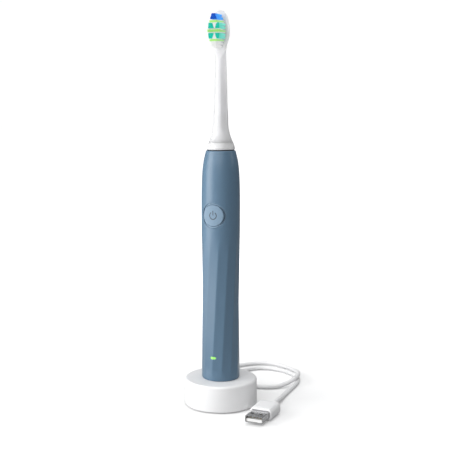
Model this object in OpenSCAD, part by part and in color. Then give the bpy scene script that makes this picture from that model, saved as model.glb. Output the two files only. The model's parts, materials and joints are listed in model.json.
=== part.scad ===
// Rechargeable sonic toothbrush standing on a round induction charger with a USB lead.
// Millimetres. +Z is up, the origin is on the puck's axis at the surface it stands on,
// and the front of the handle (button, lamp, bristles) faces -Y.

/* [Charger] */
// Radius of the puck just above its foot
puck_r = 25.1; // [24.8:0.1:25.6]
// Height of the puck's top face
puck_h = 18.5; // [18:0.1:19]
// Rounding of the puck's upper edge
puck_edge = 1.6; // [0.8:0.1:2]
// Radius of the post that the handle drops over
post_r = 4.8; // [4.4:0.1:5]

/* [Handle] */
// Number of flat facets round the lower handle
facets = 12; // [10:1:14]
// Turn of a facet edge per millimetre of height, in degrees
facet_twist = 0.24; // [0:0.02:0.3]
// Radius of the bore inside the handle
bore_r = 11; // [10.95:0.01:11.05]
// Radius of the button cap
button_r = 7.3; // [7:0.1:7.3]
// Depth of the groove that the button seal sits in
groove_depth = 0.3; // [0.3:0.1:0.8]
// Width of the lamp window
lamp_w = 4; // [3.4:0.1:4.4]

/* [Brush head] */
// Radius of one tuft of bristles
tuft_r = 0.8; // [0.7:0.05:0.82]
// Distance of the longest tuft tips from the axis
tip_y = 12.3; // [11.8:0.1:13.2]
// Thickness of the bristle plate in front of the axis
plate_front = 1.8; // [1.6:0.1:2]

/* [Lead] */
// Diameter of the cable
cable_d = 3.2; // [3:0.1:3.2]
// Exposed length of the plug's metal shell
shell_len = 12; // [11.5:0.1:12.5]

/* [Hidden] */
$fn = 96;

up = puck_h - 18.5;        // everything on the handle rises with the puck's top
wall_in = puck_r - 2.2;    // inner wall of the puck
post_in = 3.5;             // inner radius of the post
post_top = puck_h + 14;    // top of the post
boss_at = 16;              // radius on which the three screw bosses stand
gland_a = 120;             // direction of the cable outlet round the puck
gland_z = 5.6;             // height of the cable outlet
gland_end = 31.5;          // distance of the gland's free end from the axis
btn_z = 132.4;             // height of the button's centre
led_z = 34.8;              // height of the lamp window
led_r = 0.8;               // radius of the lamp window's ends
shaft_r = 1.9;
plug_x = 39;               // the plug lies parallel to Y at this X
plug_z = 4.1;              // height of the plug's axis
shell_y = -22.4;           // face of the overmould that the shell comes out of
tube_sides = 8;

slate = [0.35, 0.45, 0.53];
slate_light = [0.50, 0.59, 0.67];
white = [0.93, 0.93, 0.93];
board = [0.10, 0.35, 0.22];
copper = [0.72, 0.42, 0.22];
steel = [0.70, 0.71, 0.73];

// outline of the handle: [height, radius]
handle_profile = [[18.6, 12.5], [19.1, 12.85], [20, 13.0], [22, 13.0], [25, 12.98], [28.8, 12.97],
  [33, 12.95], [38, 12.92], [45, 12.89], [52, 12.85], [60, 12.82], [68, 12.79], [76, 12.8],
  [84, 12.82], [92, 12.85], [100, 12.88], [106, 12.91], [112, 12.96], [117, 13.0], [121, 13.03],
  [129, 13.05], [137, 13.06], [144, 13.02], [149, 12.94], [153, 12.83], [157, 12.69],
  [161, 12.47], [164, 12.2], [167, 11.82], [169.5, 11.38], [171.5, 10.92], [173.2, 10.5],
  [174.6, 10.15], [175.4, 9.95], [175.8, 9.6]];

// outline of the brush head's moulding from the base ring up: [radius, height]
neck_profile = [[8.2, 181], [7.6, 182.3], [6.85, 184.3], [6.2, 186.3], [5.65, 188.3],
  [5.25, 190.3], [5.0, 193], [4.9, 196], [4.8, 200], [4.55, 205], [4.41, 210], [4.27, 218],
  [4.0, 226], [3.7, 233.5], [3.55, 239.5]];

// half width of the bristle plate against height: [half width, height]
plate_half = [[3.3, 240.5], [3.9, 243.7], [4.66, 245.7], [5.4, 247.7], [6.0, 249.6], [6.35, 251.6],
  [6.45, 253.5], [6.38, 255.5], [6.15, 257.4], [5.8, 259.3], [5.4, 261.3], [4.8, 263.2],
  [3.85, 265.2], [2.5, 266.9], [1.2, 267.5], [0, 267.6]];

// centre line of the cable, from the gland to the plug, resting on the surface
cable_route = [[-15.75, 27.28, 5.6], [-17.7, 30.65, 5.4], [-20.6, 36, 4.2], [-23.2, 42, 2.7],
  [-25.5, 49, 1.8], [-27, 57, 1.6], [-27.3, 65, 1.6], [-26.3, 73, 1.6], [-23.8, 80.5, 1.6],
  [-19.3, 87.5, 1.6], [-14, 93.5, 1.6], [-7.5, 97.5, 1.6], [0, 99, 1.6], [8, 97.3, 1.6],
  [15, 93, 1.7], [21, 87.5, 2.3], [26.5, 81, 3.5], [30.5, 74, 4.8], [33, 66, 5.1],
  [33, 58, 4.7], [30, 51, 3.2], [25.5, 45.5, 1.9], [19.5, 41.5, 1.6], [12, 39.2, 1.6],
  [4, 39.5, 1.6], [-3.5, 42, 1.6], [-9.5, 47, 1.6], [-13.5, 54, 1.6], [-15, 62, 1.6],
  [-14.3, 70, 1.6], [-11.3, 77.5, 1.6], [-6, 83, 1.6], [1, 86, 1.6], [8.5, 86, 1.6],
  [16, 84, 1.6], [22.7, 80, 1.6], [28.5, 74.5, 1.6], [32.5, 68, 1.6], [34.5, 61, 1.6],
  [35.2, 53, 1.6], [35.6, 44, 1.6], [36, 35, 1.6], [36.5, 26.5, 1.7], [37.4, 18.5, 2.3],
  [38.4, 10.5, 3.6], [39, 4.5, 4.1], [39, 0, 4.1]];

// tufts: [x, z] of each, by colour
blue_at = concat([for (x = [-0.83, 0.83]) [x, 263.9]], [for (x = [-1.75, 0, 1.75]) [x, 261.9]]);
lime_at = concat([for (x = [-2.52, -0.84, 0.84, 2.52]) [x, 259.9]],
  [for (x = [-3.6, -1.8, 0, 1.8, 3.6]) [x, 253.6]],
  [for (x = [-2.52, -0.84, 0.84, 2.52]) [x, 247.7]]);
teal_at = concat([for (x = [-3.5, -1.75, 1.75, 3.5]) [x, 257.9]], [for (x = [-3.5, -1.75, 1.75, 3.5]) [x, 255.9]],
  [for (x = [-3.5, -1.75, 1.75, 3.5]) [x, 251.5]], [for (x = [-3.4, -1.7, 1.7, 3.4]) [x, 249.6]]);
white_at = concat([for (z = [257.9, 255.9, 251.5, 249.6]) [0, z]],
  [for (x = [-1.75, 0, 1.75]) [x, 245.8]], [for (x = [-0.85, 0.85]) [x, 243.9]]);

function smooth(t) = let (u = min(1, max(0, t))) u * u * (3 - 2 * u);
// how strongly the facets show at a height
function facet_w(z) = smooth((119 - z) / 16) * smooth((z - 20.5) / 7);
// angle of the first facet edge from the front, at a height
function edge_a(z) = 18.8 - facet_twist * (115 - min(z, 121));
// distance from the axis of a point between two edges, t from 0 to 1
function facet_k(t) = cos(180 / facets) / cos((t - 0.5) * 360 / facets);
function skin_ring(z, r, n) = [for (i = [0 : facets - 1], j = [0 : n - 1])
  let (t = j / n, a = edge_a(z) + (i + t) * 360 / facets, w = facet_w(z),
       q = r * (1 - w + w * facet_k(t)))
  [q * sin(a), -q * cos(a), z]];
// closed skin through a list of [height, radius]
module skin(profile, n = 4) {
  m = facets * n;
  k = len(profile);
  pts = concat([for (p = profile) each skin_ring(p[0], p[1], n)],
    [[0, 0, profile[0][0]], [0, 0, profile[k - 1][0]]]);
  faces = concat(
    [for (s = [0 : k - 2], i = [0 : m - 1]) [s * m + i, (s + 1) * m + i, (s + 1) * m + (i + 1) % m]],
    [for (s = [0 : k - 2], i = [0 : m - 1]) [s * m + i, (s + 1) * m + (i + 1) % m, s * m + (i + 1) % m]],
    [for (i = [0 : m - 1]) [k * m, i, (i + 1) % m]],
    [for (i = [0 : m - 1]) [k * m + 1, (k - 1) * m + (i + 1) % m, (k - 1) * m + i]]);
  polyhedron(points = pts, faces = faces);
}
function arc(cx, cy, r, a0, a1, n = 8) = [for (i = [0 : n])
  [cx + r * cos(a0 + (a1 - a0) * i / n), cy + r * sin(a0 + (a1 - a0) * i / n)]];
// cylinder along -Y, from y0 (nearer the axis) out to y1, at height z
module along_y(r, y0, y1, z, x = 0) translate([x, -y0, z]) rotate([90, 0, 0]) cylinder(h = y1 - y0, r = r);
module ring_z(r0, r1, z0, z1) rotate_extrude() translate([r0, z0]) square([r1 - r0, z1 - z0]);
module block(x0, x1, y0, y1, z0, z1) translate([x0, y0, z0]) cube([x1 - x0, y1 - y0, z1 - z0]);
module on_bosses() for (a = [30, 150, 270]) rotate([0, 0, a]) translate([boss_at, 0, 0]) children();
// outline with round corners
module round_rect(w, h, r) offset(r = r, $fn = 24) square([w - 2 * r, h - 2 * r], center = true);

// ---------------------------------------------------------------- charger
module charger_housing() color(white) difference() {
  union() {
    rotate_extrude() polygon(concat(
      [[wall_in, 0.6], [puck_r - 0.4, 0.6], [puck_r, 1.1], [puck_r - 0.15, puck_h - puck_edge]],
      arc(puck_r - 0.15 - puck_edge, puck_h - puck_edge, puck_edge, 10, 90),
      arc(post_r + 0.8, puck_h + 0.8, 0.8, 270, 180, 4),
      arc(post_r - 0.9, post_top - 0.9, 0.9, 0, 90, 5),
      [[0, post_top], [0, post_top - 1.2], [post_in, post_top - 1.2], [post_in, puck_h - 2], [wall_in, puck_h - 2]]));
    on_bosses() translate([0, 0, 2.4]) cylinder(h = puck_h - 4.3, r = 2.4, $fn = 32);
  }
  on_bosses() translate([0, 0, 2.3]) cylinder(h = 8, r = 0.9, $fn = 24);
  rotate([0, 0, gland_a]) translate([wall_in - 1, 0, gland_z]) rotate([0, 90, 0]) cylinder(h = 5, r = 2.5, $fn = 32);
}
module charger_base_cover() color([0.86, 0.86, 0.86]) difference() {
  union() {
    translate([0, 0, 0.8]) cylinder(h = 1.6, r = wall_in - 0.05);
    for (a = [90, 210, 330]) rotate([0, 0, a]) translate([10, 0, 2.3]) cylinder(h = 2.1, r = 1.5, $fn = 24);
  }
  ring_z(19.95, 22.05, 0.5, 1.2);
  on_bosses() translate([0, 0, 0.5]) cylinder(h = 3, r = 1.15, $fn = 24);
  on_bosses() translate([0, 0, 0.5]) cylinder(h = 1.1, r = 2.1, $fn = 32);
}
module anti_slip_ring() color([0.55, 0.56, 0.57]) ring_z(20, 22, 0, 1.2);
module charger_screws() color(steel) on_bosses() difference() {
  union() {
    translate([0, 0, 0.8]) cylinder(h = 0.8, r = 1.9, $fn = 32);
    translate([0, 0, 1.5]) cylinder(h = 7.5, r = 0.85, $fn = 24);
  }
  block(-1.1, 1.1, -0.2, 0.2, 0.7, 1.2);
  block(-0.2, 0.2, -1.1, 1.1, 0.7, 1.2);
}
module charger_pcb() color(board) difference() {
  translate([0, 0, 4.4]) cylinder(h = 1.2, r = 12.6, $fn = 64);
  block(-20, 20, -20, -11.6, 4, 6);
}
module charger_pcb_components() color([0.2, 0.2, 0.22]) {
  translate([7.6, 3.4, 5.6]) cylinder(h = 6, r = 2.2, $fn = 32);
  translate([7.4, -3.2, 5.6]) cylinder(h = 4.5, r = 1.7, $fn = 32);
  block(-9.6, -5.2, -2.4, 2.0, 5.6, 6.8);
  block(-7.4, -4.4, 6.4, 9.4, 5.6, 8.2);
  block(-2.4, 2.4, -10.2, -6.4, 5.6, 7.2);
  for (i = [0 : 3]) block(1.6 + i * 1.5, 2.6 + i * 1.5, 8, 9.2, 5.6, 6.3);
}
module primary_bobbin() color([0.9, 0.86, 0.75]) {
  ring_z(1.9, 3.3, 5.6, 6.4);
  ring_z(1.9, 2.2, 6.3, 30.3);
  ring_z(1.9, 3.3, 29.6, 30.4);
}
module primary_coil() color(copper) ring_z(2.2, 3.2, 6.4, 29.6);
module ferrite_core() color([0.25, 0.25, 0.27]) translate([0, 0, 5.6]) cylinder(h = 25.2, r = 1.85, $fn = 48);
module cable_gland() color([0.9, 0.9, 0.9]) rotate([0, 0, gland_a]) translate([0, 0, gland_z]) rotate([0, 90, 0])
  difference() {
    rotate_extrude($fn = 48) polygon([[0, 21], [2.9, 21], [2.9, 22.4], [2.45, 22.4], [2.45, 25.6], [2.05, gland_end], [0, gland_end]]);
    for (d = [27, 28.5, 30]) translate([0, 0, d]) rotate_extrude($fn = 48) translate([1.95, 0]) square([2, 0.6]);
  }

// ---------------------------------------------------------------- lead
function unit(v) = v / norm(v);
// frame of the tube at point i: direction along the route, then two directions across it
function dir_at(i) = let (n = len(cable_route)) unit(cable_route[min(i + 1, n - 1)] - cable_route[max(i - 1, 0)]);
function tube_ring(i) = let (
    n = len(cable_route), p = cable_route[i],
    d = i == 0 ? [cos(gland_a), sin(gland_a), 0] : i == n - 1 ? [0, -1, 0] : dir_at(i),
    s = unit(cross(d, [0, 0, 1])), t = cross(s, d))
  [for (k = [0 : tube_sides - 1]) let (a = k * 360 / tube_sides + 180 / tube_sides)
    p + cable_d / 2 * (cos(a) * s + sin(a) * t)];
module usb_cable() color(white) {
  n = len(cable_route);
  m = tube_sides;
  polyhedron(
    points = [for (i = [0 : n - 1]) each tube_ring(i)],
    faces = concat(
      [[for (k = [0 : m - 1]) m - 1 - k]],
      [[for (k = [0 : m - 1]) (n - 1) * m + k]],
      [for (i = [0 : n - 2], k = [0 : m - 1]) [i * m + k, i * m + (k + 1) % m, (i + 1) * m + (k + 1) % m]],
      [for (i = [0 : n - 2], k = [0 : m - 1]) [i * m + k, (i + 1) * m + (k + 1) % m, (i + 1) * m + k]]));
}
// solid with a rounded outline, lying along Y, from y0 to y1
module bar_y(w, h, r, y0, y1) translate([plug_x, y1, plug_z]) rotate([90, 0, 0]) linear_extrude(y1 - y0) round_rect(w, h, r);
module usb_overmould() color(white) {
  difference() {
    hull() {
      bar_y(15.6, 8.2, 3, shell_y, -6);
      bar_y(14.4, 7.2, 3, -4.7, -4.6);
      bar_y(12.6, 5.6, 2.6, -4.1, -4);
    }
    bar_y(12, 4.5, 0.6, shell_y - 1, -16.4);
  }
  translate([plug_x, -5, plug_z]) rotate([-90, 0, 0]) cylinder(h = 5, r1 = 2.7, r2 = 2.1);
}
module usb_shell() color(steel) difference() {
  bar_y(12, 4.5, 0.6, shell_y - shell_len, -16.4);
  bar_y(11.4, 3.9, 0.35, shell_y - shell_len - 1, -15);
  for (x = [-3.1, 3.1]) block(plug_x + x - 1.1, plug_x + x + 1.1, shell_y - 7.6, shell_y - 5.2, -1, 9);
}
module usb_tongue() color([0.96, 0.96, 0.96]) {
  block(plug_x - 5.5, plug_x + 5.5, shell_y - shell_len + 0.8, -17, 2.3, 4.1);
  block(plug_x - 5.5, plug_x + 5.5, -22, -17, 4, 5.9);
}
module usb_contacts() color([0.85, 0.68, 0.3]) for (i = [0 : 3])
  let (x = plug_x + [-3.5, -1, 1, 3.5][i], y = shell_y - shell_len + (i == 0 || i == 3 ? 2.6 : 3.6))
    block(x - 0.5, x + 0.5, y, -22, 4.1, 4.3);

// ---------------------------------------------------------------- handle
module handle_housing() color(slate) translate([0, 0, up]) difference() {
  skin(handle_profile);
  translate([0, 0, 15]) cylinder(h = 140, r = bore_r);
  translate([0, 0, 154.99]) cylinder(h = 17.02, r1 = bore_r, r2 = 8.6);
  translate([0, 0, 172]) cylinder(h = 5, r = 8.6);
  along_y(8.4, 9, 15, btn_z);
  along_y(7.5, 8, 15, btn_z);
  along_y(led_r, 9, 15, led_z, lamp_w / 2 - led_r);
  along_y(led_r, 9, 15, led_z, led_r - lamp_w / 2);
  block(led_r - lamp_w / 2, lamp_w / 2 - led_r, -15, -9, led_z - led_r, led_z + led_r);
}
module button_seal() color([0.30, 0.39, 0.47]) translate([0, 0, up]) intersection() {
  difference() {
    along_y(8.35, 9, 14, btn_z);
    along_y(button_r + 0.1, 8, 15, btn_z);
  }
  ring_z(11.3, 13.05 - groove_depth, btn_z - 10, btn_z + 10);
}
module led_window() color([0.55, 0.95, 0.35]) translate([0, 0, up]) {
  intersection() {
    union() {
      along_y(led_r - 0.04, 10.7, 14, led_z, lamp_w / 2 - led_r);
      along_y(led_r - 0.04, 10.7, 14, led_z, led_r - lamp_w / 2);
      block(led_r - lamp_w / 2, lamp_w / 2 - led_r, -14, -10.7, led_z - led_r + 0.04, led_z + led_r - 0.04);
    }
    skin([for (p = handle_profile) if (p[0] > 28 && p[0] < 46) p]);
  }
  block(-1.4, 1.4, -10.75, -10.15, 34.1, 39.6);
}
module base_cap() color([0.30, 0.39, 0.47]) translate([0, 0, up]) rotate_extrude() polygon(
  [[5.6, 19.2], [10.5, 19.2], [10.9, 19.6], [10.9, 19.8], [9.85, 19.8], [9.85, 21], [10.9, 21],
   [10.9, 21.6], [6.9, 21.6], [6.9, 35.2], [0, 35.2], [0, 34], [5.6, 34]]);
module base_cap_o_ring() color([0.12, 0.12, 0.13]) translate([0, 0, up]) rotate_extrude() translate([10.4, 20.4]) circle(r = 0.5, $fn = 32);
module secondary_bobbin() color([0.9, 0.86, 0.75]) translate([0, 0, up]) {
  ring_z(7, 10.2, 21.6, 22.4);
  ring_z(7, 7.6, 22.3, 32.3);
  ring_z(7, 10.2, 32.2, 33);
}
module secondary_coil() color(copper) translate([0, 0, up]) ring_z(7.6, 9.8, 22.4, 32.2);
module inner_chassis() color([0.82, 0.83, 0.80]) translate([0, 0, up]) difference() {
  union() {
    block(-2.5, 2.5, 9.9, 10.6, 36.4, 155);
    translate([0, 0, 36.4]) cylinder(h = 2, r = 10.7);
    translate([0, 0, 92]) cylinder(h = 2, r = 10.7);
    translate([0, 0, 93.9]) cylinder(h = 5, r = 3);
    translate([0, 0, 104]) cylinder(h = 6, r = 10.7);
    translate([0, 0, 151]) cylinder(h = 4, r = 10.7);
    translate([0, 0, 154.9]) cylinder(h = 2.1, r = 9.8);
    for (x = [-6, 6]) translate([x, 6.5, 109.9]) cylinder(h = 12.1, r = 0.8, $fn = 24);
    for (x = [-6, 6]) translate([x, 6.5, 144]) cylinder(h = 7.1, r = 0.8, $fn = 24);
    ring_z(7.1, 8.2, 60, 66);
    block(-2.5, 2.5, 7.8, 10, 60, 66);
  }
  block(-12, 12, -12, -8.2, 30, 160);
  block(-12, 12, -12, -4, 59, 67);
  translate([0, 0, 94.5]) cylinder(h = 6, r = 0.92, $fn = 32);
  translate([0, 0, 103]) cylinder(h = 8, r = 2.6);
  translate([0, 0, 104.5]) cylinder(h = 6, r = 4);
  translate([0, 0, 150]) cylinder(h = 8, r = 2.6);
  translate([0, 0, 151.5]) cylinder(h = 6, r = 4);
}
module main_pcb() color(board) translate([0, 0, up]) block(-5.2, 5.2, -9.4, -8.2, 37, 148);
module main_pcb_components() color([0.18, 0.18, 0.2]) translate([0, 0, up]) {
  block(-0.8, 0.8, -10.1, -9.4, 37.6, 39.2);
  block(-1.5, 1.5, -10.2, -9.4, 53, 56);
  block(-2.5, 2.5, -10.2, -9.4, 68, 73);
  block(-2, 2, -10.6, -9.4, 84, 88);
  block(-1, 1, -10.3, -9.4, 96, 99);
  for (i = [0 : 4]) block(-3.6, -2.6, -9.9, -9.4, 60 + i * 8, 60.6 + i * 8);
  for (i = [0 : 4]) block(2.6, 3.6, -9.9, -9.4, 62 + i * 8, 62.6 + i * 8);
  for (i = [0 : 3]) block(-1.1, -0.1, -9.9, -9.4, 104 + i * 5, 104.6 + i * 5);
  block(-3, 3, -8.2, -6.2, 97, 100);
}
module tact_switch() color([0.2, 0.2, 0.22]) translate([0, 0, up]) difference() {
  block(-2.2, 2.2, -10.7, -9.4, btn_z - 2.6, btn_z + 2.6);
  along_y(1.3, 9.6, 11, btn_z);
}
module battery_cell() color([0.55, 0.62, 0.30]) translate([0, 0, up]) {
  translate([0, 0, 38.8]) cylinder(h = 50, r = 7);
  translate([0, 0, 88.7]) cylinder(h = 1.1, r = 2.8);
}
module battery_tabs() color(steel) translate([0, 0, up]) {
  block(-2, 2, -8.1, 3, 38.45, 38.75);
  block(-2, 2, -8.1, 3, 89.85, 90.15);
}
module stator_core() color([0.45, 0.46, 0.48]) translate([0, 0, up]) difference() {
  union() {
    ring_z(8, 9.7, 122, 144);
    block(-8.3, -4, -2.2, 2.2, 122, 144);
    block(4, 8.3, -2.2, 2.2, 122, 144);
  }
  translate([0, 0, 120]) cylinder(h = 30, r = 5.1);
  block(-12, 12, -12, -7.7, 120, 150);
}
module stator_coils() color(copper) translate([0, 0, up]) for (s = [0, 180]) rotate([0, 0, s]) difference() {
  block(5.3, 6.85, -4, 4, 119.6, 146.4);
  block(5, 7, -2.25, 2.25, 121.95, 144.05);
}
module upper_bearing() color([0.70, 0.52, 0.30]) translate([0, 0, up]) ring_z(shaft_r + 0.07, 4, 151.5, 156.5);
module lower_bearing() color([0.70, 0.52, 0.30]) translate([0, 0, up]) ring_z(shaft_r + 0.07, 4, 104.5, 109.5);
module torsion_spring() color([0.6, 0.6, 0.62]) translate([0, 0, 94.5 + up]) cylinder(h = 8.4, r = 0.9, $fn = 32);
module nose_collar() color([0.30, 0.39, 0.47]) translate([0, 0, up]) rotate_extrude() polygon(
  [[5.2, 166.6], [8.9, 166.6], [8.9, 168.4], [8.4, 168.4], [8.4, 172], [8.55, 172.2], [8.55, 174.6], [5.2, 174.6]]);
module reader_antenna() color(copper) translate([0, 0, up]) ring_z(6.2, 7.6, 166, 166.6);
module shaft_seal() color([0.06, 0.06, 0.07]) translate([0, 0, up]) rotate_extrude() polygon(
  [[shaft_r + 0.08, 174.6], [8.5, 174.6], [8.5, 175.8], [9.15, 175.8], [9.15, 176.25], [3.4, 176.25],
   [2.6, 179.5], [shaft_r + 0.08, 179.5]]);

// ---------------------------------------------------------------- button
// upright barrel that shapes the button's face
module face_barrel(r, z0, z1) translate([0, 17.25, z0]) cylinder(h = z1 - z0, r = r, $fn = 360);
module power_button() color(slate_light) translate([0, 0, up]) difference() {
  union() {
    intersection() {
      along_y(button_r, 8, 13.2, btn_z);
      ring_z(11.75, 16, btn_z - 10, btn_z + 10);
      face_barrel(30, btn_z - 10, btn_z + 10);
    }
    along_y(2, 11.5, 12.4, btn_z);
  }
  intersection() {
    union() {
      difference() {
        along_y(2.7, 11, 14, btn_z);
        along_y(2.15, 10, 15, btn_z);
        block(-1.35, 1.35, -15, -10, btn_z, btn_z + 4);
      }
      block(-0.28, 0.28, -15, -10, btn_z + 0.2, btn_z + 3.3);
    }
    difference() {
      face_barrel(34, btn_z - 5, btn_z + 5);
      face_barrel(29.75, btn_z - 6, btn_z + 6);
    }
  }
}
module switch_plunger() color([0.85, 0.85, 0.86]) translate([0, 0, up]) along_y(1.22, 10.15, 11.45, btn_z);

// ---------------------------------------------------------------- drive
module drive_shaft() color(steel) translate([0, 0, up]) difference() {
  union() {
    translate([0, 0, 103]) cylinder(h = 94, r = shaft_r);
    translate([0, 0, 197]) cylinder(h = 0.5, r1 = shaft_r, r2 = shaft_r - 0.5);
  }
  block(-3, 3, 1.45, 3, 181, 199);
}
module rotor_yoke() color([0.5, 0.5, 0.52]) translate([0, 0, up]) difference() {
  intersection() {
    translate([0, 0, 121.5]) cylinder(h = 23, r = 3.6);
    block(-2.9, 2.9, -4, 4, 121, 145);
  }
  translate([0, 0, 120]) cylinder(h = 30, r = shaft_r + 0.02);
}
module rotor_magnets() color([0.62, 0.63, 0.66]) translate([0, 0, up]) intersection() {
  union() {
    block(2.9, 4.3, -2.4, 2.4, 122, 144);
    block(-4.3, -2.9, -2.4, 2.4, 122, 144);
  }
  translate([0, 0, 120]) cylinder(h = 30, r = 4.6);
}

// ---------------------------------------------------------------- brush head
module plate_outline(s = 1) polygon(concat([for (p = plate_half) [s * p[0], 254 + (p[1] - 254) * s]],
  [for (i = [len(plate_half) - 2 : -1 : 0]) [-s * plate_half[i][0], 254 + (plate_half[i][1] - 254) * s]]));
module plate_slab(s, y0, y1) translate([0, y1, 0]) rotate([90, 0, 0]) linear_extrude(y1 - y0) plate_outline(s);
module brush_neck() color(white) translate([0, 0, up]) difference() {
  union() {
    rotate_extrude() polygon(concat([[0, 177.3], [7.25, 177.3], [7.25, 181]], neck_profile,
      [[3.3, 241.5], [2.6, 243.6], [1.6, 246], [0, 248]]));
    hull() {
      plate_slab(1, -plate_front, 0.4);
      plate_slab(0.72, 1.9, 2.2);
    }
  }
  block(-6, 6, -6, -plate_front, 243, 250);
  translate([0, 0, 177]) cylinder(h = 5, r = 6.2);
  translate([0, 0, 181.9]) cylinder(h = 2.1, r1 = 6.2, r2 = 3);
  difference() {
    translate([0, 0, 176]) cylinder(h = 22.5, r = shaft_r + 0.07);
    block(-3, 3, 1.52, 4, 184, 200);
  }
  block(-1.2, 1.2, 1.5, 2.6, 186, 194);
}
module head_base_ring() color([0.97, 0.97, 0.97]) translate([0, 0, up]) rotate_extrude() polygon(
  [[7.3, 176.9], [9.4, 176.9], [9.62, 177.1], [9.25, 178.3], [8.5, 180.3], [8.25, 180.95], [7.3, 180.95]]);
module chip_tag() color([0.2, 0.4, 0.3]) translate([0, 0, up]) ring_z(4.4, 6.2, 181.2, 181.6);
module shaft_clip() color(steel) translate([0, 0, up]) {
  block(-1.1, 1.1, 2.3, 2.6, 186.1, 193.9);
  block(-1.1, 1.1, 1.56, 2.4, 188.5, 191.5);
}
module tufts(at, tip) for (p = at) along_y(tuft_r, plate_front, tip, p[1], p[0], $fn = 16);
module tufts_blue() color([0.08, 0.32, 0.72]) translate([0, 0, up]) tufts(blue_at, tip_y - 0.3);
module tufts_lime() color([0.70, 0.90, 0.55]) translate([0, 0, up]) tufts(lime_at, tip_y);
module tufts_teal() color([0.05, 0.70, 0.62]) translate([0, 0, up]) tufts(teal_at, tip_y - 0.9);
module tufts_white() color([0.93, 0.94, 0.93]) translate([0, 0, up]) tufts(white_at, tip_y - 0.5);
module tuft_anchors() color([0.80, 0.70, 0.45]) translate([0, 0, up])
  for (p = concat(blue_at, lime_at, teal_at, white_at)) block(p[0] - 0.6, p[0] + 0.6, -1.75, -0.35, p[1] - 0.15, p[1] + 0.15);

charger_housing();
charger_base_cover();
anti_slip_ring();
charger_screws();
charger_pcb();
charger_pcb_components();
primary_bobbin();
primary_coil();
ferrite_core();
cable_gland();
usb_cable();
usb_overmould();
usb_shell();
usb_tongue();
usb_contacts();
handle_housing();
button_seal();
led_window();
base_cap();
base_cap_o_ring();
secondary_bobbin();
secondary_coil();
inner_chassis();
main_pcb();
main_pcb_components();
tact_switch();
battery_cell();
battery_tabs();
stator_core();
stator_coils();
upper_bearing();
lower_bearing();
torsion_spring();
nose_collar();
reader_antenna();
shaft_seal();
power_button();
switch_plunger();
drive_shaft();
rotor_yoke();
rotor_magnets();
brush_neck();
head_base_ring();
chip_tag();
shaft_clip();
tufts_blue();
tufts_lime();
tufts_teal();
tufts_white();
tuft_anchors();
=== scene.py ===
import json
import math
import random

import bpy
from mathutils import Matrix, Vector


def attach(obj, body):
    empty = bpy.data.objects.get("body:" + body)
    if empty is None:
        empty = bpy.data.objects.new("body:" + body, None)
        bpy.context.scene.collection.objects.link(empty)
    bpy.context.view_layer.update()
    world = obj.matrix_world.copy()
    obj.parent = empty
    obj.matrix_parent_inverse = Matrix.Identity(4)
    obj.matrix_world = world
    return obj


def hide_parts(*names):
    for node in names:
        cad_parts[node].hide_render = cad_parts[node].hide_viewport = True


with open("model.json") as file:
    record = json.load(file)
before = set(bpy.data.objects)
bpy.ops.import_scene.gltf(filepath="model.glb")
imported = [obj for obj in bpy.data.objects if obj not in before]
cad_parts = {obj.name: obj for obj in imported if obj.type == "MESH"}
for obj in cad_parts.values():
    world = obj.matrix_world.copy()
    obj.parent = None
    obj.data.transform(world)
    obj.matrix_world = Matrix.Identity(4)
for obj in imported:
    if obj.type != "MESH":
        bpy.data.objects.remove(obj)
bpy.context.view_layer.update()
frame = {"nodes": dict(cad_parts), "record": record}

MM = 0.001
scene = bpy.context.scene
scene.view_settings.view_transform = "Standard"
scene.view_settings.look = "None"

# ------------------------------------------------------------------ camera
CAM_AZ = math.radians(24.52)      # the camera stands this far round to +X from the front
CAM_DIST, CAM_HIGH, CAM_PITCH = 0.61243, 0.20444, math.radians(7.42)
toward = Vector((math.sin(CAM_AZ), -math.cos(CAM_AZ), 0))
rightward = Vector((math.cos(CAM_AZ), math.sin(CAM_AZ), 0))
cam = bpy.data.objects.new("camera", bpy.data.cameras.new("camera"))
scene.collection.objects.link(cam)
cam.data.sensor_width = 36
cam.data.lens = 72.635
cam.data.shift_x = 0.00933
cam.data.clip_start, cam.data.clip_end = 0.02, 30
cam.location = toward * CAM_DIST + Vector((0, 0, CAM_HIGH))
look = -toward * math.cos(CAM_PITCH) + Vector((0, 0, -math.sin(CAM_PITCH)))
cam.rotation_mode = "QUATERNION"
cam.rotation_quaternion = look.to_track_quat("-Z", "Y")
scene.camera = cam


# ------------------------------------------------------------------ numbers
def clamp(t, lo=0.0, hi=1.0):
    return min(hi, max(lo, t))


def smooth(t):
    u = clamp(t)
    return u * u * (3 - 2 * u)


def lerp(a, b, t):
    return a + (b - a) * t


def table(rows, z):
    """Smooth value through a table of [place, value] rows."""
    if z <= rows[0][0]:
        return rows[0][1]
    if z >= rows[-1][0]:
        return rows[-1][1]
    i = 0
    while rows[i + 1][0] < z:
        i += 1
    (x0, y0), (x1, y1) = rows[i], rows[i + 1]

    def slope(k):
        if k <= 0 or k >= len(rows) - 1:
            j = 0 if k <= 0 else len(rows) - 2
            return (rows[j + 1][1] - rows[j][1]) / (rows[j + 1][0] - rows[j][0])
        a = (rows[k][1] - rows[k - 1][1]) / (rows[k][0] - rows[k - 1][0])
        b = (rows[k + 1][1] - rows[k][1]) / (rows[k + 1][0] - rows[k][0])
        return 0 if a * b <= 0 else 2 * a * b / (a + b)

    h = x1 - x0
    t = (z - x0) / h
    m0, m1 = slope(i) * h, slope(i + 1) * h
    return ((2 * t ** 3 - 3 * t ** 2 + 1) * y0 + (t ** 3 - 2 * t ** 2 + t) * m0
            + (-2 * t ** 3 + 3 * t ** 2) * y1 + (t ** 3 - t ** 2) * m1)


def soft_min(a, b, k):
    """The smaller of two lengths, with the corner between them rounded by about k."""
    h = clamp(0.5 + 0.5 * (b - a) / k)
    return lerp(b, a, h) - k * h * (1 - h)


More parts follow.
